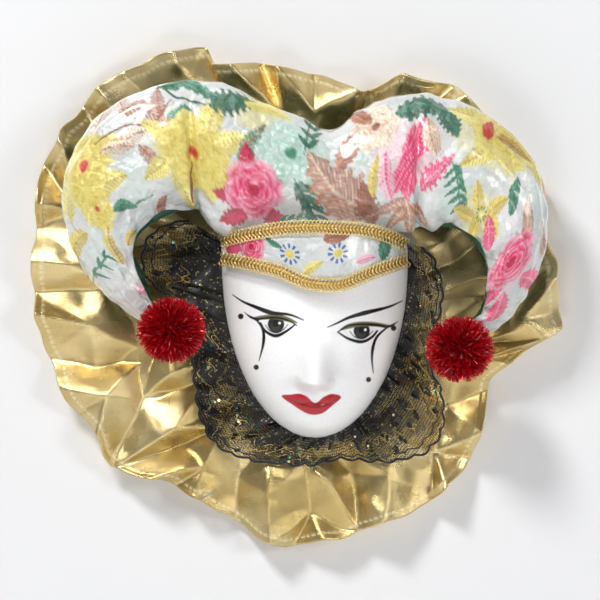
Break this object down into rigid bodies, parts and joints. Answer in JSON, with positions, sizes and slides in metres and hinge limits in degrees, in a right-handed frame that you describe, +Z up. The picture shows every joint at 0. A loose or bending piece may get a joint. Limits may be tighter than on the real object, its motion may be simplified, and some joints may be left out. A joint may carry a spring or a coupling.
{
  "type": "masquerade mask",
  "caption": "Decorative wall mask: porcelain doll face with a stuffed two-horned jester hat, gold braid, red tinsel pompoms, black lace collar and a gathered gold ruffle.",
  "frame": {"origin": "middle of the backing felt's back face, where the mask rests on the wall", "axes": "+Z up as the mask hangs, the face looks towards -Y, +Y points into the wall, +X to the viewer's right"},
  "size_m": [0.2452, 0.0587, 0.2286],
  "materials": {
    "felt": "black wool felt",
    "card": "grey-brown mill board",
    "lame": "gold lame, crushed, glossy",
    "tape": "cotton tape",
    "lace": "black net lace with glitter",
    "porcelain": "white glaze with painted make-up",
    "glue": "hot-melt glue",
    "print": "pearly satin with a floral print",
    "green": "dark green satin",
    "wadding": "polyester fibre",
    "braid": "metallic gold gimp braid",
    "tinsel": "red metallic tinsel",
    "thread": "sewing thread",
    "ribbon": "black grosgrain ribbon",
    "wire": "brassed wire",
    "steel": "staple wire"
  },
  "bodies": {
    "mask": {"backing_felt": "felt", "backing_card": "card", "hanger_tab": "ribbon", "porcelain_face": "porcelain", "glue_ring": "glue", "ruffle": "lame", "gathering_tape": "tape", "ruffle_staple": "steel", "lace_trim": "lace", "hat_band": "print", "band_wadding": "wadding", "braid_upper": "braid", "braid_lower": "braid", "crown_front": "print", "crown_back": "green", "crown_filling": "wadding", "horn_left_front": "print", "horn_left_back": "green", "horn_left_filling": "wadding", "horn_right_front": "print", "horn_right_back": "green", "horn_right_filling": "wadding", "pompom_stitch_left": "thread", "pompom_stitch_right": "thread"},
    "hanger": {"hanger_ring": "wire"},
    "pompom_left_body": {"pompom_left": "tinsel"},
    "pompom_right_body": {"pompom_right": "tinsel"}
  },
  "joints": [
    {"name": "hanger_swing", "type": "hinge", "parent": "mask", "child": "hanger", "pos_m": [0, -0.00275, 0.07], "axis": [-1, 0, 0], "range_deg": [0, 148]},
    {"name": "pompom_left_swing", "type": "hinge", "parent": "mask", "child": "pompom_left_body", "pos_m": [-0.058, -0.03009, -0.00091], "axis": [0, 1, 0], "range_deg": [-25, 10]},
    {"name": "pompom_right_swing", "type": "hinge", "parent": "mask", "child": "pompom_right_body", "pos_m": [0.072, -0.03009, -0.00931], "axis": [0, -1, 0], "range_deg": [-25, 10]}
  ]
}
